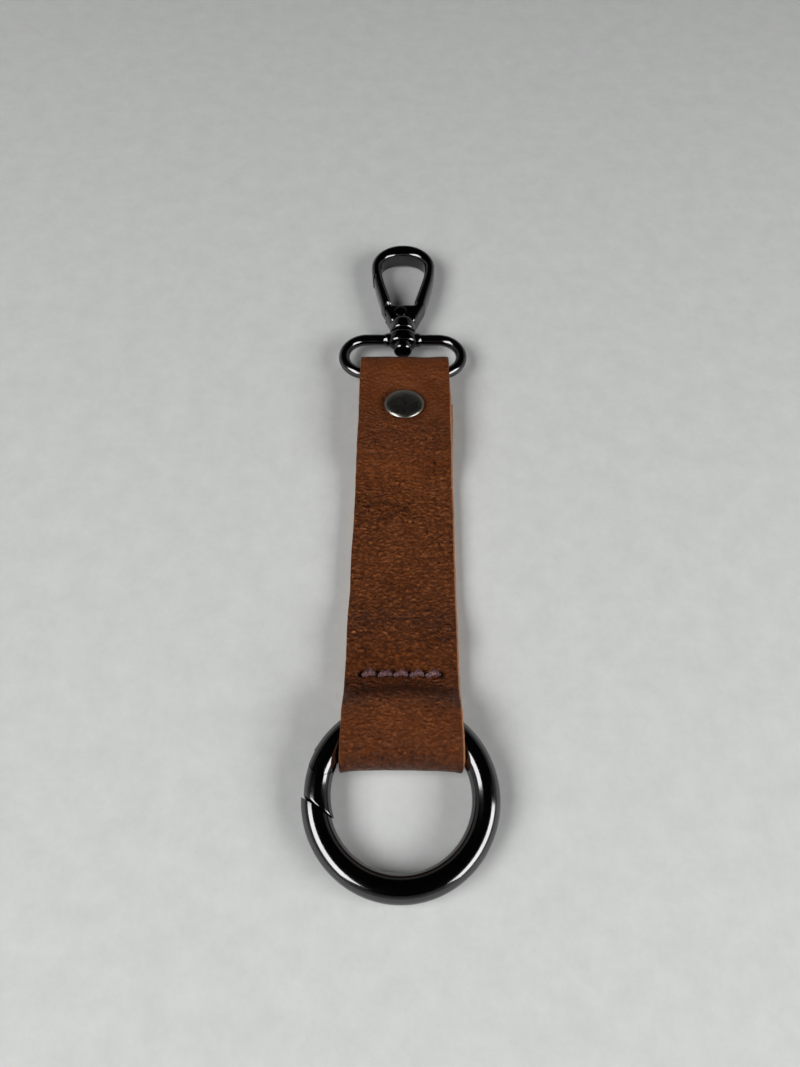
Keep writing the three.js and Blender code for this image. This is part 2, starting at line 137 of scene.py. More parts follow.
# Swivel hook, drawn flat with its near bar on the X axis and its tip towards +Y
BAR_HALF = 1.3
LOOP_DEPTH = 10.8
LOOP_INNER = 25.0
SWIVEL_R = 1.4
EYE_R = 2.6
EYE_BULGE = 1.35
NECK_R = 3.1
EYE_HALF = 1.7
EYE_LOW, EYE_HIGH = LOOP_DEPTH - EYE_HALF, LOOP_DEPTH + EYE_HALF
NECK_Y = EYE_HIGH + RUN_GAP
BLOCK_Y = NECK_Y + 2.2
OPENING_Y = BLOCK_Y + 5.8
TIP_Y = NECK_Y + 29.7
HOOK_HALF = 2.4
HOOK_ARM = 2.4
HEAD_R = 7.9
HEAD_Y = TIP_Y - 0.98 * HEAD_R
CROWN = 1.46 * HOOK_ARM
BLOCK_FOOT = 2.9
BLOCK_SHOULDER = 5.4
OPENING_FOOT = BLOCK_SHOULDER - 1.08 * HOOK_ARM
OPENING_CORNER = 1.2
TONGUE_R = 2.3
PIVOT = (-0.6, BLOCK_Y + TONGUE_R + SWIVEL_R / 2)
BLOCK_R = 3.7
HOOK_PIN_R = 0.8
HOOK_EDGE = 1.1
HOOK_SLOT = (-1.5, 1.5)
HOOK_LEAF = (-1.2, 0.3)
SWIVEL_END = PIVOT[1] - TONGUE_R - 2 * RUN_GAP

ring_centre = Vector(joints["ring_turn"]["pos_m"]) / MM
ring_axis = Vector(joints["ring_turn"]["axis"])
ring_tilt = math.atan2(-ring_axis.y, ring_axis.z)
ring_place = Matrix.Translation(ring_centre) @ Matrix.Rotation(ring_tilt, 4, "X")
bar_centre = Vector(joints["loop_swing"]["pos_m"]) / MM
gate_axis = Vector(joints["hook_gate_open"]["axis"])
hook_tilt = math.atan2(-gate_axis.y, gate_axis.z)
hook_place = Matrix.Translation(bar_centre) @ Matrix.Rotation(hook_tilt, 4, "X")
hinge_place = ring_place @ Matrix.Translation((*HINGE, 0))
pivot_place = hook_place @ Matrix.Translation((*PIVOT, 0))
strap_place = Matrix.Translation((0, ring_centre.y, 0))
RING_Z = ring_centre.z
BAR_Z = bar_centre.z


def make_camera():
    data = bpy.data.cameras.new("camera")
    data.sensor_width = SENSOR
    data.lens = FOCAL_PIXELS / IMAGE_HEIGHT * SENSOR
    data.clip_start = 0.005
    data.clip_end = 50
    camera = bpy.data.objects.new("camera", data)
    camera.location = CAMERA_PLACE
    camera.rotation_euler = (math.radians(90 - CAMERA_DOWN), 0, math.radians(CAMERA_YAW))
    collection.objects.link(camera)
    bpy.context.scene.camera = camera


# Meshes
def mesh_object(name, vertices, faces, place=None):
    """A mesh from points in millimetres, put in place by a matrix in millimetres."""
    mesh = bpy.data.meshes.new(name)
    points = np.asarray(vertices, float)
    if place is not None:
        turned = np.array(place.to_3x3())
        points = points @ turned.T + np.array(place.translation)
    mesh.from_pydata((points * MM).tolist(), [], faces)
    mesh.validate()
    mesh.update()
    made = bpy.data.objects.new(name, mesh)
    collection.objects.link(made)
    return made


def tube_faces(rows, columns, closed=False):
    """Quads round a grid whose columns close on themselves; the rows do so too if closed."""
    faces = []
    for i in range(rows if closed else rows - 1):
        for k in range(columns):
            after, turn = (i + 1) % rows, (k + 1) % columns
            faces.append((i * columns + k, i * columns + turn, after * columns + turn, after * columns + k))
    return faces


def circle(radius, sides, x=0, y=0):
    """Points evenly round a circle drawn flat."""
    turns = [2 * math.pi * k / sides for k in range(sides)]
    return [(x + radius * math.cos(turn), y + radius * math.sin(turn)) for turn in turns]


def lathe(name, profile, place, sides=96, axis="Z", stretch=(1, 1, 1)):
    """A turned body from [radius, height] points that start and end on the axis."""
    inner = profile[1:-1]
    vertices = []
    for radius, height in inner:
        vertices.extend((x, y, height) for x, y in circle(radius, sides))
    faces = tube_faces(len(inner), sides)
    for (_, height), row, turn in ((profile[0], 0, -1), (profile[-1], len(inner) - 1, 1)):
        middle = len(vertices)
        vertices.append((0, 0, height))
        for k in range(sides):
            corners = (row * sides + k, row * sides + (k + 1) % sides, middle)
            faces.append(corners[::turn])
    points = np.array(vertices)
    if axis == "Y":
        points = points[:, [1, 2, 0]]
    if axis == "X":
        points = points[:, [2, 0, 1]]
    return mesh_object(name, points * np.array(stretch), faces, place)


def rounded(points, radius, steps=5):
    """The same open profile with its inner corners rounded."""
    points = [np.array(p, float) for p in points]
    made = [points[0]]
    for before, corner, after in zip(points, points[1:], points[2:]):
        to_before, to_after = before - corner, after - corner
        reach = min(radius, 0.45 * np.linalg.norm(to_before), 0.45 * np.linalg.norm(to_after))
        start = corner + to_before / np.linalg.norm(to_before) * reach
        end = corner + to_after / np.linalg.norm(to_after) * reach
        for i in range(steps + 1):
            t = i / steps
            made.append((1 - t) ** 2 * start + 2 * t * (1 - t) * corner + t ** 2 * end)
    made.append(points[-1])
    return [tuple(p) for p in made]


def bezier(start, first, second, end, count):
    """Points along a cubic curve, without its start."""
    t = np.linspace(0, 1, count + 1)[1:, None]
    start, first, second, end = (np.array(p, float) for p in (start, first, second, end))
    return list((1 - t) ** 3 * start + 3 * t * (1 - t) ** 2 * first
                + 3 * t * t * (1 - t) * second + t ** 3 * end)


def unit(vectors):
    return vectors / np.linalg.norm(vectors, axis=1)[:, None]


def directions(line, reference):
    """Unit directions to the side of a line and upwards from it, at each of its points."""
    ahead = unit(np.gradient(line, axis=0))
    side = unit(np.cross(ahead, reference))
    return side, np.cross(side, ahead)


def prism(name, outline, low, high, place):
    """An outline drawn flat, raised from one height to another."""
    count = len(outline)
    vertices = [(x, y, low) for x, y in outline] + [(x, y, high) for x, y in outline]
    faces = [tuple(reversed(range(count))), tuple(range(count, 2 * count))]
    for i in range(count):
        after = (i + 1) % count
        faces.append((i, after, count + after, count + i))
    return mesh_object(name, vertices, faces, place)


def rod(name, x, y, radius, low, high, place, sides=64):
    return prism(name, circle(radius, sides, x, y), low, high, place)


def settle(made):
    """The object's modifiers become its mesh."""
    graph = bpy.context.evaluated_depsgraph_get()
    mesh = bpy.data.meshes.new_from_object(made.evaluated_get(graph))
    old = made.data
    made.modifiers.clear()
    made.data = mesh
    bpy.data.meshes.remove(old)


def combine(made, other, operation):
    """Joins, cuts or intersects one solid with another, which is used up."""
    change = made.modifiers.new("combine", "BOOLEAN")
    change.operation = operation
    change.solver = "MANIFOLD"
    change.object = other
    settle(made)
    bpy.data.objects.remove(other)
    return made


def cut(made, other):
    combine(made, other, "DIFFERENCE")


def clean(made):
    """Joins corners that fall together, drops faces a cut left loose and turns the rest outwards."""
    work = bmesh.new()
    work.from_mesh(made.data)
    bmesh.ops.dissolve_degenerate(work, edges=work.edges, dist=SAME_POINT * MM)
    bmesh.ops.triangulate(work, faces=[face for face in work.faces if len(face.verts) > 4])
    bmesh.ops.dissolve_degenerate(work, edges=work.edges, dist=SAME_POINT * MM)
    loose = [face for face in work.faces if any(edge.is_boundary for edge in face.edges)]
    bmesh.ops.delete(work, geom=loose, context="FACES")
    bmesh.ops.recalc_face_normals(work, faces=work.faces)
    work.to_mesh(made.data)
    work.free()


def soften(made, width=0.1, angle=35):
    """Breaks the sharp edges and shades the rest smooth."""
    if width:
        edge = made.modifiers.new("edge", "BEVEL")
        edge.width = width * MM
        edge.segments = 3
        edge.limit_method = "ANGLE"
        edge.angle_limit = math.radians(angle)
        settle(made)
    clean(made)
    made.data.polygons.foreach_set("use_smooth", [True] * len(made.data.polygons))
    made.data.set_sharp_from_angle(angle=math.radians(angle))
    return made


def dress(made, body, slot, material, *replaced):
    """Gives a piece its material and its body, and hides the solids it stands for."""
    made.data.materials.clear()
    made.data.materials.append(material)
    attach(made, body)
    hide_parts(*replaced)


# Repeatable noise for shapes
def lattice(i, j, seed):
    """A fixed number from 0 to 1 for each pair of whole numbers."""
    value = np.sin(i * 127.1 + j * 311.7 + seed * 74.7) * 43758.5453
    return value - np.floor(value)


def smooth_step(low, high, value):
    t = np.clip((value - low) / (high - low), 0, 1)
    return t * t * (3 - 2 * t)


def noise(x, y, seed):
    """Smooth noise from -1 to 1, about one swing per unit."""
    i, j = np.floor(x), np.floor(y)
    fx, fy = smooth_step(0, 1, x - i), smooth_step(0, 1, y - j)
    low = lattice(i, j, seed) * (1 - fx) + lattice(i + 1, j, seed) * fx
    high = lattice(i, j + 1, seed) * (1 - fx) + lattice(i + 1, j + 1, seed) * fx
    return 2 * (low * (1 - fy) + high * fy) - 1


def cell_walls(x, y, seed):
    """Distance from the walls between scattered cells, about one cell per unit."""
    i, j = np.floor(x), np.floor(y)
    nearest = np.full(x.shape, 9.0)
    second = np.full(x.shape, 9.0)
    for di in (-1, 0, 1):
        for dj in (-1, 0, 1):
            px = i + di + 0.15 + 0.7 * lattice(i + di, j + dj, seed)
            py = j + dj + 0.15 + 0.7 * lattice(i + di, j + dj, seed + 5)
            distance = np.hypot(px - x, py - y)
            second = np.minimum(second, np.maximum(nearest, distance))
            nearest = np.minimum(nearest, distance)
    return second - nearest


# Materials
def new_material(name):
    material = bpy.data.materials.new(name)
    material.use_nodes = True
    tree = material.node_tree
    return material, tree, tree.nodes["Principled BSDF"]


def feed(tree, socket, value):
    """Links a socket to another one, or sets it to a value."""
    if isinstance(value, bpy.types.NodeSocket):
        tree.links.new(value, socket)
    else:
        socket.default_value = value


def add_node(tree, kind, settings=None, **inputs):
    """A shader node whose inputs are set to a value or linked to a socket."""
    made = tree.nodes.new("ShaderNode" + kind)
    for key, value in (settings or {}).items():
        setattr(made, key, value)
    for key, value in inputs.items():
        feed(tree, made.inputs[key.replace("_", " ")], value)
    return made


def add_math(tree, operation, *values, kind="Math"):
    """The result of a sum with sockets and values."""
    made = add_node(tree, kind, {"operation": operation})
    for socket, value in zip(made.inputs, values):
        feed(tree, socket, value)
    return made.outputs[0]


def ramp(tree, source, stops):
    """Colours or greys along a ramp fed by a socket."""
    made = tree.nodes.new("ShaderNodeValToRGB")
    elements = made.color_ramp.elements
    while len(elements) < len(stops):
        elements.new(0.5)
    for element, (place, colour) in zip(elements, stops):
        element.position = place
        element.color = (*colour, 1) if hasattr(colour, "__len__") else (colour, colour, colour, 1)
    tree.links.new(source, made.inputs["Fac"])
    return made.outputs["Color"]


def add_bump(tree, shader, height, strength, distance):
    bump = add_node(tree, "Bump", Strength=strength, Distance=distance, Height=height)
    tree.links.new(bump.outputs["Normal"], shader.inputs["Normal"])


def metal_material(name, dark, light, rough_low, rough_high, scratch):
    """Polished plate: faint clouding in colour and gloss, and fine handling scratches."""
    material, tree, shader = new_material(name)
    shader.inputs["Metallic"].default_value = 1.0
    place = add_node(tree, "TexCoord").outputs["Object"]
    cloud = add_node(tree, "TexNoise", Vector=place, Scale=260.0, Detail=4.0, Roughness=0.6)
    tree.links.new(ramp(tree, cloud.outputs["Fac"], [(0.35, dark), (0.7, light)]),
                   shader.inputs["Base Color"])
    smear = add_node(tree, "TexNoise", Vector=place, Scale=620.0, Detail=6.0, Roughness=0.7)
    tree.links.new(ramp(tree, smear.outputs["Fac"], [(0.3, rough_low), (0.75, rough_high)]),
                   shader.inputs["Roughness"])
    lines = add_node(tree, "TexNoise", Vector=place, Scale=2600.0, Detail=2.0, Distortion=1.5)
    add_bump(tree, shader, lines.outputs["Fac"], scratch, 0.00002)
    return material


def leather_material(name, stops, rough_low, rough_high):
    """Leather face: tone from the mesh (darker creases and stitch holes, painted shade on the fold and below
    the seam, a painted sheen over the ring), pebbles, pores and mottling from textures along the strip.
    """
    material, tree, shader = new_material(name)
    shader.inputs["Specular IOR Level"].default_value = 0.36
    shader.inputs["Specular Tint"].default_value = (1.0, 0.6, 0.46, 1.0)
    strip = add_node(tree, "UVMap", {"uv_map": "strip"}).outputs["UV"]
    tone_and_painted_light = add_node(tree, "Attribute", {"attribute_name": "tone_and_painted_light"}).outputs["Fac"]
    grain = add_node(tree, "Attribute", {"attribute_name": "grain"}).outputs["Fac"]
    drift = add_node(tree, "TexNoise", Vector=strip, Scale=75.0, Detail=2.0)
    drift_reach = (0.006, 0.006, 0.0)
    warp = add_math(tree, "MULTIPLY_ADD", drift.outputs["Color"], drift_reach, strip, kind="VectorMath")
    squeeze = add_node(tree, "Mapping", Vector=warp, Scale=(0.75, 1.0, 1.0))

    def texture(kind, output, **inputs):
        return add_node(tree, kind, Vector=squeeze.outputs["Vector"], **inputs).outputs[output]

    pebble = ramp(tree, texture("TexVoronoi", "Distance", Scale=125.0), [(0.08, 1.0), (0.62, 0.0)])
    pore = texture("TexNoise", "Fac", Scale=170.0, Detail=3.0, Roughness=0.65, Distortion=0.5)
    pore = ramp(tree, pore, [(0.36, 0.0), (0.64, 1.0)])
    mottle = texture("TexNoise", "Fac", Scale=30.0, Detail=3.0, Roughness=0.6)

    def weigh(source, weight, onto=0.0):
        return add_math(tree, "MULTIPLY_ADD", source, weight, onto)

    height = add_math(tree, "MULTIPLY", weigh(pore, 0.5, weigh(pebble, 0.5)), grain)
    # Higher grain is lighter and its valleys darker: partly the leather's own colour, partly painted shade
    tone = weigh(mottle, 0.3, weigh(height, GRAIN_TONE, tone_and_painted_light))
    tree.links.new(ramp(tree, tone, stops), shader.inputs["Base Color"])
    tree.links.new(ramp(tree, height, [(0.1, rough_high), (0.8, rough_low)]), shader.inputs["Roughness"])
    add_bump(tree, shader, height, 1.0, 0.0011)
    return material


def fibre_material(name, stops, scale, roughness, depth):
    """Raw leather edge, flesh side or thread: fibrous noise in colour and height."""
    material, tree, shader = new_material(name)
    shader.inputs["Roughness"].default_value = roughness
    place = add_node(tree, "TexCoord").outputs["Object"]
    stretch = add_node(tree, "Mapping", Vector=place, Scale=scale).outputs["Vector"]
    fibres = add_node(tree, "TexNoise", Vector=stretch, Scale=1.0, Detail=5.0, Roughness=0.65)
    tree.links.new(ramp(tree, fibres.outputs["Fac"], stops), shader.inputs["Base Color"])
    add_bump(tree, shader, fibres.outputs["Fac"], 0.6, depth)
    return material


# Stage: floor, a wall far round it and a soft lamp at each side
def shown_only(tree, shader, colour):
    """Paleness that is seen and mirrored but lights nothing."""
    path = add_node(tree, "LightPath")
    seen = path.outputs["Is Camera Ray"]
    for other in ("Is Glossy Ray", "Is Transmission Ray"):
        seen = add_math(tree, "MAXIMUM", seen, path.outputs[other])
    tree.links.new(seen, shader.inputs["Emission Strength"])
    tree.links.new(colour, shader.inputs["Emission Color"])


def make_floor(pale):
    half = 2600
    floor = mesh_object("floor", [(-half, -half, 0), (half, -half, 0), (half, half, 0), (-half, half, 0)],
                        [(0, 1, 2, 3)])
    material, tree, shader = new_material("paper")
    shader.inputs["Roughness"].default_value = 0.85
    place = add_node(tree, "TexCoord").outputs["Object"]
    fleck = add_node(tree, "TexNoise", Vector=place, Scale=160.0, Detail=8.0, Roughness=0.8)
    tree.links.new(ramp(tree, fleck.outputs["Fac"], [(0.35, [0.9 * c for c in pale]), (0.65, pale)]),
                   shader.inputs["Base Color"])
    far = add_node(tree, "VectorMath", {"operation": "LENGTH"})
    tree.links.new(place, far.inputs[0])
    away = add_node(tree, "MapRange", Value=far.outputs["Value"], From_Min=0.0, From_Max=3.0)
    shown_only(tree, shader, ramp(tree, away.outputs["Result"],
                                  [(0.16, 0.0), (0.3, 0.15), (0.5, 0.33), (0.8, 0.38)]))
    floor.data.materials.append(material)
    return floor


def make_wall(pale):
    count, radius, height = 96, 2500, 1400
    points = [(x, y, z) for z in (0, height) for x, y in circle(radius, count)]
    faces = [(i, (i + 1) % count, count + (i + 1) % count, count + i) for i in range(count)]
    wall = mesh_object("wall", points, faces)
    material, tree, shader = new_material("wall_paper")
    shader.inputs["Base Color"].default_value = (*pale, 1)
    place = add_node(tree, "TexCoord").outputs["Object"]
    level = add_node(tree, "SeparateXYZ", Vector=place).outputs["Z"]
    shown_only(tree, shader, ramp(tree, level, [(0.0, 0.35), (0.45, 0.2), (1.0, 0.08)]))
    wall.data.materials.append(material)
    return wall


def make_lamps():
    along = Vector((0, 1, 0))
    for name, (away, length, width) in LAMPS.items():
        away = Vector(away)
        facing = (away - along * away.y).normalized()
        data = bpy.data.lights.new(name, "AREA")
        data.shape = "RECTANGLE"
        data.size = length
        data.size_y = width
        data.energy = LAMP_RADIANCE * math.pi * length * width
        lamp = bpy.data.objects.new(name, data)
        turn = Matrix((along, facing.cross(along), facing)).transposed().to_4x4()
        lamp.matrix_world = Matrix.Translation(ring_centre * MM + away) @ turn
        collection.objects.link(lamp)


def make_stage():
    pale = (0.55, 0.56, 0.55)
    floor = make_floor(pale)
    wall = make_wall(pale)
    world = bpy.data.worlds.new("room")
    bpy.context.scene.world = world
    world.use_nodes = True
    world.node_tree.nodes["Background"].inputs["Color"].default_value = (0.006, 0.006, 0.006, 1)
    make_lamps()


# Leather strap
stitch_low = THREAD + LAYER_GAP
stitch_top = stitch_low + 2 * LEATHER + LAYER_GAP
rivet_low = RIVET_CAP_HEIGHT + LAYER_GAP
rivet_top = rivet_low + 3 * LEATHER + 2 * LAYER_GAP


def strap_line():
    """The strip's middle line in side view, from the lower layer's cut end to the tail's."""
    ring_inner = RING_R - RING_HALF
    over_y = RING_R * math.cos(ring_tilt)
    over_z = RING_Z + RING_R * math.sin(ring_tilt)
    fold_inner = math.sqrt(ring_inner ** 2 - (STRAP_WIDTH / 2) ** 2) * math.cos(ring_tilt)
    cavity_top = RING_Z + 0.72 * RING_R * math.sin(ring_tilt) + RING_HALF + 1.4 * RUN_GAP
    fold_r = (cavity_top - LEATHER) / 2
    fold_y, fold_z = fold_inner - RUN_GAP + fold_r, LEATHER + fold_r
    low_flat, low_stitch, low_rivet = HALF, stitch_low + HALF, rivet_low + HALF
    top_flat, top_stitch, top_rivet = LEATHER + LAYER_GAP + HALF, stitch_top - HALF, rivet_top - HALF
    tail = rivet_low + LEATHER + LAYER_GAP + HALF
    wrap = BAR_HALF + RUN_GAP + BAR_SLACK + HALF
    bar_fold_y = NEAR_BAR_Y + BAR_SLACK
    low_step, top_step = RIVET_Y - RIVET_CAP / 2 - 0.5, TAIL_END_Y - 1
    line = [np.array((LOWER_END_Y, low_rivet))]

    def straight(y, z):
        start, end = line[-1], np.array((y, z))
        count = max(2, int(np.linalg.norm(end - start) / LINE_STEP))
        line.extend(start + (end - start) * i / count for i in range(1, count + 1))

    def curve(first, second, end):
        count = max(8, int(np.linalg.norm(np.array(end) - line[-1]) / LINE_STEP))
        line.extend(bezier(line[-1], first, second, end, count))

    def ease(y, z):
        middle = (line[-1][0] + y) / 2
        curve((middle, line[-1][1]), (middle, z), (y, z))

    def arc(y, z, radius, start, end):
        count = max(8, int(abs(end - start) * radius / LINE_STEP))
        for i in range(1, count + 1):
            angle = start + (end - start) * i / count
            line.append(np.array((y + radius * math.cos(angle), z + radius * math.sin(angle))))

    straight(low_step, low_rivet)
    ease(low_step - RAMP, low_flat)
    straight(STITCH_Y + 10, low_flat)
    ease(STITCH_Y + 2.4, low_stitch)
    straight(STITCH_Y - 2, low_stitch)
    ease(STITCH_Y - 7.9, low_flat)
    straight(fold_y, low_flat)
    arc(fold_y, fold_z, fold_r + HALF, -math.pi / 2, -1.5 * math.pi)
    over = RING_HALF + RUN_GAP + HALF
    ease(over_y, over_z + over)
    leave = math.radians(42)
    arc(over_y, over_z, over, math.pi / 2, leave)
    start, foot_y, pull = line[-1], STITCH_Y - 1.0, 2.3
    curve((start[0] + pull * math.sin(leave), start[1] - pull * math.cos(leave)),
          (foot_y - pull, top_stitch), (foot_y, top_stitch))
    straight(STITCH_Y + 1.6, top_stitch)
    ease(STITCH_Y + 6, top_stitch + 0.6)
    ease(STITCH_Y + 18, top_flat)
    straight(top_step - RAMP, top_flat)
    ease(top_step, top_rivet)
    straight(RIVET_Y + RIVET_CAP / 2, top_rivet)
    ease(bar_fold_y, BAR_Z + wrap)
    arc(bar_fold_y, BAR_Z, wrap, math.pi / 2, -math.pi / 2)
    ease(LOWER_END_Y + 1.2, tail)
    straight(TAIL_END_Y, tail)
    return np.array(line)


def even_line(line, step=0, count=0):
    """The same line with points at an even step or of a given count, and how far along each one is."""
    reach = np.concatenate(([0], np.cumsum(np.linalg.norm(np.diff(line, axis=0), axis=1))))
    along = np.linspace(0, reach[-1], count or int(reach[-1] / step) + 1)
    return np.stack([np.interp(along, reach, line[:, k]) for k in (0, 1)], axis=1), along


def strip_section():
    """Columns round the strip's section: share of the half width, inset from the edge, height, zone."""
    outer_r, inner_r = 0.24, 0.14
    columns = [(f, outer_r, HALF, GRAIN_SIDE) for f in np.linspace(-1, 1, 81)]

    def corner(side, radius, top, angles):
        for angle in angles:
            level = HALF - radius + radius * math.sin(angle)
            columns.append((side, radius - radius * math.cos(angle), level if top else -level,
                            GRAIN_SIDE if top else CUT_EDGE))

    turns = [math.radians(a) for a in (67, 45, 22)]
    walls = np.linspace(HALF - outer_r, inner_r - HALF, 6)
    corner(1, outer_r, True, turns)
    columns.extend((1, 0, level, CUT_EDGE) for level in walls)
    corner(1, inner_r, False, turns[::-1][:2])
    columns.extend((f, inner_r, -HALF, FLESH_SIDE) for f in np.linspace(1, -1, 23))
    corner(-1, inner_r, False, turns[1:])
    columns.extend((-1, 0, level, CUT_EDGE) for level in walls[::-1])
    corner(-1, outer_r, True, turns[::-1])
    return columns


def strip_mesh(name, place, zone, fields, flat, materials):
    """The strip from its rows of points, with its zones' materials, its fields and its flat layout."""
    rows, columns = place.shape[:2]
    first = tuple(reversed(range(columns)))
    last = tuple(range((rows - 1) * columns, rows * columns))
    faces = [*tube_faces(rows, columns), last, first]
    strip = mesh_object(name, place.reshape(-1, 3), faces, strap_place)
    mesh = strip.data
    for material in materials:
        mesh.materials.append(material)
    after = np.roll(zone, -1)
    zones = np.where((zone == CUT_EDGE) | (after == CUT_EDGE), CUT_EDGE, np.maximum(zone, after))
    zones = np.concatenate((np.tile(zones, rows - 1), (CUT_EDGE, CUT_EDGE)))
    mesh.polygons.foreach_set("material_index", zones.astype(np.int32))
    mesh.polygons.foreach_set("use_smooth", [True] * len(mesh.polygons))
    for label, values in fields.items():
        stored = mesh.attributes.new(label, "FLOAT", "POINT")
        stored.data.foreach_set("value", values.astype(np.float32).ravel())
    uv = mesh.uv_layers.new(name="strip")
    corner_vertex = np.zeros(len(mesh.loops), np.int32)
    mesh.loops.foreach_get("vertex_index", corner_vertex)
    uv.data.foreach_set("uv", flat.reshape(-1, 2)[corner_vertex].astype(np.float32).ravel())
    clean(strip)
    mesh.set_sharp_from_angle(angle=math.radians(60))
    return strip


def strip_across(y, along, top, share, inset, level):
    """Places across the strip and its half width, with the small waves of a hand-cut edge."""
    half = np.where(top, np.interp(y, *TOP_WIDTHS), np.interp(y, *LOW_WIDTHS))
    still = np.zeros_like(along)
    left = half + EDGE_WAVE * noise(along / 7, still, 3) + EDGE_NICK * noise(along / 1.3, still, 4)
    right = half + EDGE_WAVE * noise(along / 8, still, 6) + EDGE_NICK * noise(along / 1.1, still, 7)
    wide = np.where(share < 0, left[:, None], right[:, None])
    slant = np.where(share > 0, 0.45, 0.1) * (HALF - level) / LEATHER
    slant = np.where(np.abs(share) < 1, 0, slant) * smooth_step(96, 88, y)[:, None]
    return share * (wide - inset + slant), wide


def strip_grain(y, across, s, upper):
    """The outer face's relief, tone and coarseness: pebbles and creases, finer where it is stretched; the
    tone holds painted shade and a painted sheen.
    """
    warp_x = across + 0.5 * noise(across / 2.2, s / 2.2, 11)
    warp_s = s + 0.5 * noise(across / 2.2, s / 2.2, 12)
    pebbles = smooth_step(0.02, 0.34, cell_walls(warp_x / 1.15, warp_s / 0.8, 1))
    wrinkles = smooth_step(0.0, 0.2, cell_walls(warp_x / 2.4 + 0.3 * noise(across, s, 9), warp_s / 1.6, 2))
    patch = 0.5 + 0.5 * noise(across / 7, s / 6, 21)
    middle = smooth_step(24, 40, y) * (1 - smooth_step(72, 86, y))
    strong = (0.35 + 0.65 * middle)[:, None] * (0.4 + 0.6 * patch)
    height = -PEBBLE_DEPTH * (1 - pebbles) * (0.45 + 0.55 * strong)
    height -= WRINKLE_DEPTH * (1 - wrinkles) * strong
    height += 0.09 * noise(across / 5, s / 6, 31) + 0.04 * noise(across / 2, s / 2.4, 32)
    grain = np.interp(y, *COARSENESS)[:, None] * (0.8 + 0.4 * patch)
    # Painted sheen over the ring
    tone = RING_PAINTED_SHEEN * upper * smooth_step(8, 10, y) * smooth_step(14, 11, y)
    # Painted shade on the front of the fold, which faces away from the lamps
    tone += FOLD_PAINTED_SHADE * smooth_step(9.5, 5.5, y)
    # Painted shade on the slope from the ring down to the seam
    tone += HOLLOW_PAINTED_SHADE * upper * smooth_step(13.5, 18.5, y) * smooth_step(22.8, 22, y)
    tone += MIDDLE_TONE * upper * smooth_step(28, 40, y) * smooth_step(76, 62, y)
    tone += HOOK_END_TONE * smooth_step(66, 80, y)
    # Wrinkle valleys and pebble walls are darker: partly the grain's own colour, partly painted shade in
    # them
    tone_and_painted_light = 0.05 * pebbles + 0.2 * (1 - (1 - wrinkles) * strong * 1.5)
    tone_and_painted_light += tone[:, None] + 0.5 * GRAIN_TONE * (1 - grain)
    return height, tone_and_painted_light, grain


def sewn(from_row, across, on_top, under):
    """How far the leather is pulled in along the sewn row, and the holes at the ends of the stitches."""
    inside = smooth_step(9.6, 7.6, np.abs(across))
    pull = SEAM_DEPTH * on_top * np.exp(-(from_row / 1.15) ** 2) * inside
    pull += 0.1 * under * np.exp(-from_row ** 2) * inside
    holes = np.zeros_like(across)
    for i in range(STITCH_HOLES):
        hole_x = (i - (STITCH_HOLES - 1) / 2) * STITCH_PITCH
        near = np.hypot(across - hole_x, from_row)
        holes += on_top * np.exp(-(near / 0.55) ** 4)
    return pull, holes


def make_strap(materials):
    points, along = even_line(strap_line(), STRIP_STEP)
    ahead = unit(np.gradient(points, axis=0))
    out = np.stack((-ahead[:, 1], ahead[:, 0]), axis=1)
    share, inset, level, zone = np.array(strip_section()).T
    y = points[:, 0]
    index = np.arange(len(points))
    fold, bend = np.argmin(y), np.argmax(y)
    top = (index > fold) & (index < bend)
    upper = np.where(top, 1, 0)
    on_top, under = upper[:, None], np.where(index < fold, 1, 0)[:, None]
    across, wide = strip_across(y, along, top, share, inset, level)
    s = along[:, None] + 0 * across
    height, tone_and_painted_light, grain = strip_grain(y, across, s, upper)
    pull, holes = sewn((y - STITCH_Y)[:, None], across, on_top, under)
    height -= pull + HOLE_DEPTH * holes
    # Painted shade in the stitch holes
    tone_and_painted_light -= 1.2 * holes

    # the rivet presses the leather down round its cap, and leans with it
    from_rivet = (y - RIVET_Y)[:, None]
    rivet_away = np.hypot(across, from_rivet)
    height -= RIVET_DENT * on_top * np.exp(-((rivet_away - RIVET_CAP / 2 - 0.1) / 0.8) ** 2)
    lean = RIVET_LEAN * from_rivet * on_top * smooth_step(7.5, RIVET_CAP / 2, rivet_away)

    # the relief fades out at the edges, and the lower layer has only hollows
    edge_fade = smooth_step(0.0, 0.5, wide - np.abs(across))
    height = np.where(zone == GRAIN_SIDE, height * (0.25 + 0.75 * edge_fade), 0)
    height = np.where(under == 1, np.minimum(height, 0), height)
    fluff = np.where(zone == FLESH_SIDE, 0.03 * noise(across / 0.5, s / 0.5, 41), 0)
    lift = level + height - fluff

    # the ring pushes the corners of its fold outwards, and the hump over it follows its curve
    corner = smooth_step(9, 4.5, y)[:, None] * np.abs(share) ** 5 * 0.5
    hump = on_top * (smooth_step(8.5, 15.5, y) * smooth_step(21.9, 17.6, y))[:, None]
    curve = (across / (STRAP_WIDTH / 2)) ** 2 * hump
    shift = np.where(index <= fold, 0.55 * smooth_step(70, 88, y), 0)
    shift = shift + HOOK_END_SHIFT * smooth_step(30, 80, y)
    place_y = y[:, None] + out[:, :1] * lift - corner - 1.6 * curve
    place_z = points[:, 1:] + out[:, 1:] * lift - 0.3 * curve - lean
    place = np.stack((across + shift[:, None], place_y, place_z), axis=2)
    flat = np.stack((across, s), axis=2) * MM * 10
    fields = {"tone_and_painted_light": tone_and_painted_light, "grain": grain}
    strap = strip_mesh("leather_strip", place, zone, fields, flat, materials)
    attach(strap, "strap")
    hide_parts("leather_strap")


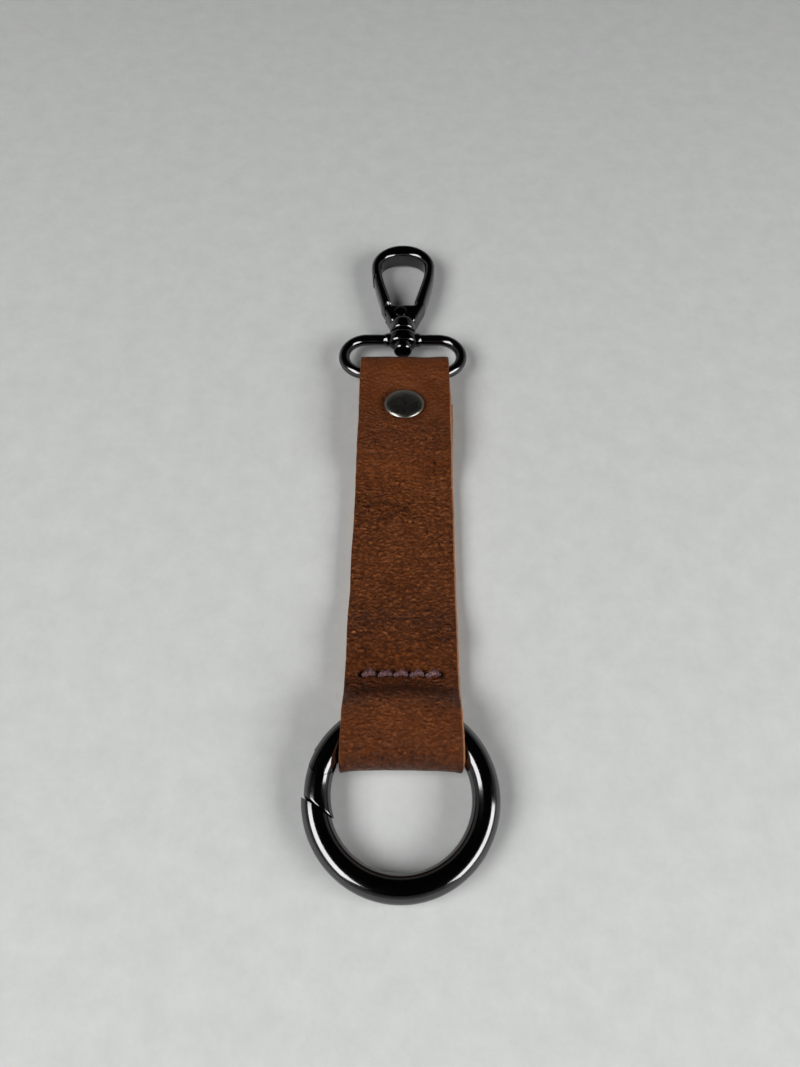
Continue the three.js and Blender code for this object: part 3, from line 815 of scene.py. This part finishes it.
# Stitches
def twisted_thread(name, height, toward, material, replaced):
    """A row of slanted stitches: plies twisted about an arch between two holes, with loose fibres."""
    plies, sides, steps = 3, 8, 44
    ply_r, twist_r, turns = 0.19, 0.29, 2.1
    sink, rise, short = 0.9, 0.4, 0.4
    fibres, fibre_r, fibre_length = 22 if toward > 0 else 0, 0.03, 0.45
    vertices, faces = [], []

    def tube(line, radius, count):
        side, up = directions(line, (0.05, 1, 0.1))
        base = len(vertices)
        for i in range(len(line)):
            for k in range(count):
                turn = 2 * math.pi * k / count
                swell = radius * (1 + 0.1 * math.sin(1.7 * i + 2.3 * k + base))
                vertices.append(line[i] + swell * (math.cos(turn) * side[i] + math.sin(turn) * up[i]))
        faces.extend(tuple(base + v for v in face) for face in tube_faces(len(line), count))
        faces.append(tuple(base + k for k in reversed(range(count))))
        faces.append(tuple(base + (len(line) - 1) * count + k for k in range(count)))

    for stitch in range(STITCH_HOLES - 1):
        start = (stitch - (STITCH_HOLES - 1) / 2) * STITCH_PITCH + short
        length = STITCH_PITCH - 2 * short
        lean = 0.26 + 0.12 * math.sin(2.1 * stitch)
        t = np.linspace(0, 1, steps)
        arch = np.sin(np.pi * t) ** 0.5
        line = np.stack((start + length * t, STITCH_Y + lean * (2 * t - 1) * np.sin(np.pi * t) ** 0.3,
                         height + toward * (-sink + (sink + rise) * arch)), axis=1)
        side, up = directions(line, (0, 1, 0))
        for ply in range(plies):
            angle = 2 * math.pi * (turns * t + ply / plies) + stitch
            twist = np.cos(angle)[:, None] * side + np.sin(angle)[:, None] * up
            tube(line + twist_r * twist, ply_r, sides)
        for fibre in range(fibres):
            spot = 0.15 + 0.7 * lattice(fibre, stitch, 51)
            angle = 2 * math.pi * lattice(fibre, stitch, 52)
            sideways, outwards = math.cos(angle), toward * abs(math.sin(angle))
            foot = line[int(spot * steps)] + np.array((0, 0.4 * sideways, 0.4 * outwards))
            reach = np.array((lattice(fibre, stitch, 53) - 0.5, sideways, 0.6 * outwards))
            curl = np.array((lattice(fibre, stitch, 54) - 0.5, lattice(fibre, stitch, 55) - 0.5, 0)) * 0.35
            share = np.linspace(0, 1, 6)[:, None]
            tube(foot + fibre_length * share * reach + share ** 2 * curl, fibre_r, 4)
    made = mesh_object(name, vertices, faces, strap_place)
    dress(soften(made, 0, 60), "strap", "thread", material, replaced)


# Rivet
def make_rivet(material):
    seat = rivet_top + 0.02
    edge = RIVET_CAP / 2
    place = strap_place @ Matrix.Translation((HOOK_END_SHIFT, RIVET_Y, 0))
    top = seat + 1.12
    tube_inner, tube_outer, tube_end = 1.45, 1.9, rivet_low + 1
    cap = rounded([(0, seat + 0.3), (tube_inner, seat + 0.3), (tube_inner, tube_end), (tube_outer, tube_end),
                   (tube_outer, seat), (edge - 0.25, seat), (edge, seat + 0.25), (edge - 0.12, seat + 0.5),
                   (edge - 0.5, seat + 0.75), (edge - 1.2, seat + 0.95), (edge - 2.4, top - 0.04),
                   (0, top)], 0.5, 6)
    back, post_r, post_end = RIVET_CAP_HEIGHT, 1.35, rivet_top - 0.2
    post = rounded([(0, 0), (edge - 2, 0), (edge - 0.7, 0.16), (edge - 0.1, 0.5), (edge, back - 0.3),
                    (edge - 0.3, back), (post_r, back), (post_r, post_end), (0, post_end)], 0.4, 6)
    lean = Matrix.Translation((0, 0, seat)) @ Matrix.Rotation(-math.atan(RIVET_LEAN), 4, "X")
    top_place = place @ lean @ Matrix.Translation((0, 0, -seat))
    dress(soften(lathe("rivet_top", cap, top_place, 128), 0), "strap", "rivet_metal", material, "rivet_cap")
    dress(soften(lathe("rivet_back", post, place, 128), 0), "strap", "rivet_metal", material, "rivet_post")


# Gate ring
def wire_ring(name, half):
    """The whole ring of round wire."""
    rows, columns = 240, 64
    turn = np.linspace(0, 2 * math.pi, rows, endpoint=False)[:, None] + 0.013
    around = np.linspace(0, 2 * math.pi, columns, endpoint=False)[None, :]
    reach = RING_R + half * np.cos(around)
    points = np.stack((reach * np.cos(turn), reach * np.sin(turn), half * np.sin(around) + 0 * turn), axis=2)
    faces = [face[::-1] for face in tube_faces(rows, columns, True)]
    return mesh_object(name, points.reshape(-1, 3), faces, ring_place)


def gate_sector(shift, low, high, place):
    """The gate's share of the plane, its nose line moved towards the gate by a shift."""
    hinge_ray = Vector((math.cos(HINGE_ANGLE), math.sin(HINGE_ANGLE)))
    ray = [tuple(hinge_ray * reach) for reach in (RING_R - 8, RING_R + 8)]
    ends = [tuple(NOSE_OUTER - 6 * NOSE_ALONG + TO_GATE * shift),
            tuple(NOSE_INNER + 5 * NOSE_ALONG + TO_GATE * shift)]
    return prism("sector", ray + ends, low, high, place)


def gate_wire(name, half, nose_r, place):
    """The gate's length of wire, cut square at the hinge and on the slant at its rounded nose."""
    around = np.linspace(0, 2 * math.pi, 64, endpoint=False)
    nose_turn = math.atan2(TO_GATE.y, TO_GATE.x)
    rows = []

    def row(share, short, inset):
        wire_r = half - inset
        reach = RING_R + wire_r * np.cos(around)
        end = nose_turn + np.arccos((TO_GATE.dot(NOSE_OUTER) + short) / reach)
        turn = HINGE_ANGLE + share * (end - HINGE_ANGLE)
        rows.append(np.stack((reach * np.cos(turn), reach * np.sin(turn), wire_r * np.sin(around)), axis=1))

    for share in np.linspace(0, 1, 60):
        row(share, nose_r, 0)
    for angle in np.linspace(0, math.pi / 2, 9)[1:]:
        row(1, nose_r * (1 - math.sin(angle)), nose_r * (1 - math.cos(angle)))
    columns = len(around)
    faces = [face[::-1] for face in tube_faces(len(rows), columns)]
    first = tuple(range(columns))
    last = tuple(reversed(range((len(rows) - 1) * columns, len(rows) * columns)))
    return mesh_object(name, np.concatenate(rows), [*faces, first, last], place)


def hinge_rod(radius, low, high):
    return rod("hinge_rod", *HINGE, radius, low, high, ring_place, 128)


def make_ring_body(gate_place, material):
    body = wire_ring("gate_ring", RING_HALF)
    for shift, low, high in ((-1.5 * SEAM, RING_LIP, THROUGH), (-0.2 * SEAM, -THROUGH, RING_LIP + 0.1)):
        sector = gate_sector(shift, low, high, gate_place)
        cut(sector, hinge_rod(RING_EAR, -BEYOND, BEYOND))
        cut(body, sector)
    cut(body, hinge_rod(RING_EAR + 0.05, *RING_SLOT))
    cut(body, hinge_rod(RING_PIN_R + FIT_GAP, -THROUGH, RING_PIN_END + FIT_GAP))
    dress(soften(body, 0.18), "ring", "gunmetal", material, "ring_body")


def make_ring_gate(gate_place, material):
    room = RING_EAR + SEAM
    gate = gate_wire("gate_ring_arm", RING_HALF - 0.12, 0.5, gate_place)
    cut(gate, hinge_rod(room, RING_LEAF[1], BEYOND))
    cut(gate, hinge_rod(room, -BEYOND, RING_LEAF[0]))
    combine(gate, hinge_rod(RING_TONGUE, *RING_LEAF), "UNION")
    cut(gate, hinge_rod(RING_PIN_R + 1.5 * FIT_GAP, -BEYOND, BEYOND))
    dress(soften(gate, 0.2), "ring_gate", "gunmetal", material, "ring_gate")


def make_ring_pin(material):
    low, end = 0.15 - RING_HALF, RING_PIN_END
    profile = rounded([(0, low), (RING_PIN_R, low), (RING_PIN_R, end - 0.1), (0, end)], 0.15)
    made = soften(lathe("gate_ring_pin", profile, hinge_place, 48), 0)
    dress(made, "ring", "gunmetal", material, "ring_hinge_pin")


def make_ring(material):
    turned = Matrix.Translation((*HINGE, 0)) @ Matrix.Rotation(GATE_PLAY, 4, "Z")
    gate_place = ring_place @ turned @ Matrix.Translation((-HINGE[0], -HINGE[1], 0))
    make_ring_body(gate_place, material)
    make_ring_gate(gate_place, material)
    make_ring_pin(material)


# Loop, swivel pin and hook
def obround(name):
    """The loop's bar, bent to a round at both ends."""
    end_r = LOOP_DEPTH / 2
    straight = LOOP_INNER / 2 + BAR_HALF - end_r
    per_end, per_side, columns = 48, 24, 48
    stations = []
    for side in (1, -1):
        for i in range(per_end + 1):
            angle = math.pi * i / per_end - side * math.pi / 2
            c, s = math.cos(angle), math.sin(angle)
            stations.append((side * straight + end_r * c, end_r + end_r * s, c, s))
        for i in range(1, per_side):
            x = side * straight * (1 - 2 * i / per_side)
            stations.append((x, end_r + side * end_r, 0, side))
    vertices = []
    for x, y, nx, ny in stations:
        for reach, height in circle(BAR_HALF, columns):
            vertices.append((x + reach * nx, y + reach * ny, height))
    faces = [face[::-1] for face in tube_faces(len(stations), columns, True)]
    return mesh_object(name, vertices, faces, hook_place)


def make_loop(material):
    loop = obround("strap_loop")
    eye = rounded([(0, EYE_LOW), (EYE_R - 0.35, EYE_LOW), (EYE_R, EYE_LOW + 0.7), (EYE_R, EYE_HIGH - 0.7),
                   (EYE_R - 0.35, EYE_HIGH), (0, EYE_HIGH)], 0.6, 6)
    combine(loop, lathe("eye", eye, hook_place, 96, "Y", (EYE_BULGE, 1, 1)), "UNION")
    collar_place = hook_place @ Matrix.Translation((0, LOOP_DEPTH, 0))
    for side in (-1, 1):
        collar = [(0, 2.2), (1.62, 2.2), (1.62, 3.55), (1.55, 3.85), (1.42, 4.2), (1.2, 4.6), (0, 4.6)]
        made = lathe("collar", collar, collar_place @ Matrix.Scale(side, 4, (1, 0, 0)), 64, "X")
        if side < 0:
            made.data.flip_normals()
        combine(loop, made, "UNION")
    reach = SWIVEL_R + RUN_GAP
    bore = [(0, EYE_LOW - 2), (reach, EYE_LOW - 2), (reach, EYE_HIGH + 2), (0, EYE_HIGH + 2)]
    cut(loop, lathe("bore", bore, hook_place, 64, "Y"))
    dress(soften(loop), "loop", "gunmetal", material, "hook_loop")


def make_swivel_pin(material):
    seat = EYE_LOW - RUN_GAP
    head = SWIVEL_R + 0.8
    profile = rounded([(0, seat - 2), (head - 0.35, seat - 1.95), (head, seat - 1.55),
                       (head, seat - 0.15), (head - 0.15, seat), (SWIVEL_R, seat),
                       (SWIVEL_R, SWIVEL_END), (0, SWIVEL_END)], 0.3, 6)
    made = soften(lathe("swivel_rivet", profile, hook_place, 96, "Y"), 0)
    dress(made, "hook", "gunmetal", material, "swivel_pin")


def half_outline(points, foot_x, foot_y, head_x, head_rise):
    """Right half of the hook's outline or opening, from its bottom middle to its top middle."""
    base, _ = even_line(np.array(rounded(points, 0.8, 8)), count=33)
    rise = HEAD_Y - foot_y
    line = list(base)
    line += bezier((foot_x, foot_y), (foot_x + 0.4 * (head_x - foot_x), foot_y + 0.37 * rise),
                   (head_x, foot_y + 0.7 * rise), (head_x, HEAD_Y), 40)
    for i in range(1, 33):
        angle = math.pi / 2 * i / 32
        line.append(np.array((head_x * math.cos(angle), HEAD_Y + head_rise * math.sin(angle))))
    return np.array(line)


def whole_outline(half):
    mirrored = half[1:-1][::-1] * np.array((-1, 1))
    return np.concatenate((half, mirrored))


def inward(outline):
    """Unit directions into an outline that runs anticlockwise."""
    ahead = unit(np.roll(outline, -1, axis=0) - np.roll(outline, 1, axis=0))
    return np.stack((-ahead[:, 1], ahead[:, 0]), axis=1)


def hook_blank(name, inset=0, thin=0):
    """The whole hook lofted round its opening with rounded edges; set in and thinner for the gate."""
    outer = whole_outline(half_outline([(0, BLOCK_Y), (BLOCK_FOOT, BLOCK_Y), (BLOCK_SHOULDER, OPENING_Y)],
                                       BLOCK_SHOULDER, OPENING_Y, HEAD_R, TIP_Y - HEAD_Y))
    corner_y = OPENING_Y + OPENING_CORNER
    inner = whole_outline(half_outline([(0, OPENING_Y), (OPENING_FOOT, OPENING_Y), (OPENING_FOOT, corner_y)],
                                       OPENING_FOOT, corner_y, HEAD_R - HOOK_ARM, TIP_Y - CROWN - HEAD_Y))
    into_outer, into_inner = inward(outer), -inward(inner)
    outer = outer + inset * into_outer
    turns = 8
    angles = [math.pi / 2 * i / turns for i in range(turns + 1)]
    upwards = [(a, -1) for a in angles[::-1]] + [(a, 1) for a in angles]
    wall = HOOK_HALF - thin - HOOK_EDGE

    def ring_of(line, into, angle, sign):
        level = sign * (wall + HOOK_EDGE * math.sin(angle))
        flat = line + into * HOOK_EDGE * (1 - math.cos(angle))
        return np.column_stack((flat, np.full(len(line), level)))

    def between(first, last):
        return [first + (last - first) * t for t in (0.15, 0.5, 0.85)]

    outside = [ring_of(outer, into_outer, *turn) for turn in upwards]
    inside = [ring_of(inner, into_inner, *turn) for turn in upwards[::-1]]
    columns = [*outside, *between(outside[-1], inside[0]), *inside, *between(inside[-1], outside[0])]
    points = np.stack(columns, axis=1)
    faces = [face[::-1] for face in tube_faces(len(outer), len(columns), True)]
    return mesh_object(name, points.reshape(-1, 3), faces, hook_place)


def hook_gate_plan(shift):
    """The gate's share of the hook, its slanted nose line moved towards the gate by a shift."""
    slant = math.radians(55)
    along = np.array((math.cos(slant), math.sin(slant)))
    to_gate = np.array((math.sin(slant), -math.cos(slant))) * shift
    nose = np.array((0.55 * HOOK_ARM - HEAD_R, HEAD_Y - 0.22 * (HEAD_Y - OPENING_Y)))
    wide, inner_x, below = 2 * HEAD_R, PIVOT[0] - 0.9, nose[1] - HOOK_ARM
    high, low = tuple(nose + 5 * along + to_gate), tuple(nose - 5 * along + to_gate)
    foot = PIVOT[1]
    outline = [(-wide, foot), (inner_x, foot), (inner_x, below), high, low, (-wide, below)]
    return prism("plan", outline, -THROUGH, THROUGH, hook_place)


def pivot_rod(radius, low, high):
    return rod("pivot_rod", *PIVOT, radius, low, high, hook_place)


def make_hook_body(material):
    body = hook_blank("snap_hook")
    plan = hook_gate_plan(-SEAM / 2)
    cut(plan, pivot_rod(BLOCK_R, -BEYOND, BEYOND))
    cut(body, plan)
    neck = rounded([(0, NECK_Y), (NECK_R - 0.25, NECK_Y), (NECK_R, NECK_Y + 0.35), (NECK_R, BLOCK_Y + 0.6),
                    (NECK_R - 0.6, BLOCK_Y + 1.6), (0, BLOCK_Y + 2.2)], 0.5, 6)
    combine(body, lathe("neck", neck, hook_place, 96, "Y"), "UNION")
    wide, right = 2 * HEAD_R, PIVOT[0] + 0.9
    low, high = PIVOT[1] - RUN_GAP, OPENING_Y + 5
    sweep = [(-wide, low), (right, low), (right, high), (-wide, high)]
    cut(body, prism("sweep", sweep, *HOOK_SLOT, hook_place))
    cut(body, pivot_rod(TONGUE_R + RUN_GAP, *HOOK_SLOT))
    reach, end = SWIVEL_R + FIT_GAP, SWIVEL_END + FIT_GAP
    bore = [(0, NECK_Y - 2), (reach, NECK_Y - 2), (reach, end), (0, end)]
    cut(body, lathe("bore", bore, hook_place, 64, "Y"))
    cut(body, pivot_rod(HOOK_PIN_R + FIT_GAP, -THROUGH, THROUGH))
    dress(soften(body), "hook", "gunmetal", material, "hook_body")


def make_hook_gate(material):
    """The gate, set in a little from the hook and chamfered round the block."""
    inset, thin, chamfer = 0.15, 0.15, 0.7
    room, crest = BLOCK_R + RUN_GAP, HOOK_HALF - thin
    wider, low = room + chamfer, HOOK_LEAF[1]
    gate = combine(hook_blank("snap_hook_arm", inset, thin), hook_gate_plan(SEAM / 2), "INTERSECT")
    flare = [(0, low), (room, low), (room, crest - chamfer), (wider, crest), (wider, THROUGH), (0, THROUGH)]
    cut(gate, lathe("flare", flare, pivot_place, 96))
    cut(gate, pivot_rod(room, -THROUGH, HOOK_LEAF[0]))
    combine(gate, pivot_rod(TONGUE_R, *HOOK_LEAF), "UNION")
    cut(gate, pivot_rod(HOOK_PIN_R + 1.5 * FIT_GAP, -THROUGH, THROUGH))
    dress(soften(gate), "hook_gate", "gunmetal", material, "hook_gate")


def make_hook_pin(material):
    seat = HOOK_HALF + FIT_GAP
    head = HOOK_PIN_R + 0.7
    profile = rounded([(0, -HOOK_HALF), (HOOK_PIN_R, -HOOK_HALF), (HOOK_PIN_R, seat), (head, seat),
                       (head, seat + 0.05), (head - 0.2, seat + 0.13), (0, seat + 0.15)], 0.2, 5)
    made = soften(lathe("snap_hook_pin", profile, pivot_place, 64), 0)
    dress(made, "hook", "gunmetal", material, "hook_gate_pin")


# Scene
make_camera()
make_stage()
gunmetal = metal_material("gunmetal", (0.098, 0.095, 0.098), (0.115, 0.112, 0.115), 0.09, 0.15, 0.05)
rivet_metal = metal_material("rivet_metal", (0.29, 0.28, 0.245), (0.34, 0.33, 0.29), 0.25, 0.33, 0.03)
spring_steel = metal_material("spring_steel", (0.42, 0.42, 0.42), (0.55, 0.55, 0.55), 0.2, 0.34, 0.1)
grain = leather_material("leather_grain", [(0.33, (0.022, 0.0042, 0.0004)), (0.67, (0.112, 0.0268, 0.0038)),
                                           (0.95, (0.24, 0.074, 0.02))], 0.26, 0.44)
raw_edge = fibre_material("leather_edge", [(0.25, (0.16, 0.058, 0.018)), (0.5, (0.28, 0.115, 0.042)),
                                           (0.8, (0.4, 0.19, 0.085))], (900, 900, 2600), 0.85, 0.0001)
flesh = fibre_material("leather_flesh", [(0.25, (0.19, 0.08, 0.035)), (0.5, (0.29, 0.14, 0.065)),
                                         (0.8, (0.38, 0.2, 0.1))], (1200, 1200, 1200), 0.92, 0.0002)
# The thread's pale top stop: its fibres' own uneven colour, and painted highlight flecks on them
thread = fibre_material("thread", [(0.3, (0.024, 0.008, 0.009)), (0.5, (0.115, 0.05, 0.054)),
                                   (0.7, (0.36, 0.22, 0.23))], (3000, 3000, 3000), 0.8, 0.00005)

make_strap([grain, raw_edge, flesh])
twisted_thread("stitches_top", stitch_top, 1, thread, "stitch_thread_upper")
twisted_thread("stitches_back", stitch_low, -1, thread, "stitch_thread_lower")
make_rivet(rivet_metal)
make_ring(gunmetal)
make_loop(gunmetal)
make_swivel_pin(gunmetal)
make_hook_body(gunmetal)
make_hook_gate(gunmetal)
make_hook_pin(gunmetal)
for name in ("ring_gate_spring", "hook_gate_spring"):
    nodes[name].data.materials.clear()
    nodes[name].data.materials.append(spring_steel)

bpy.context.scene.view_settings.view_transform = "Standard"
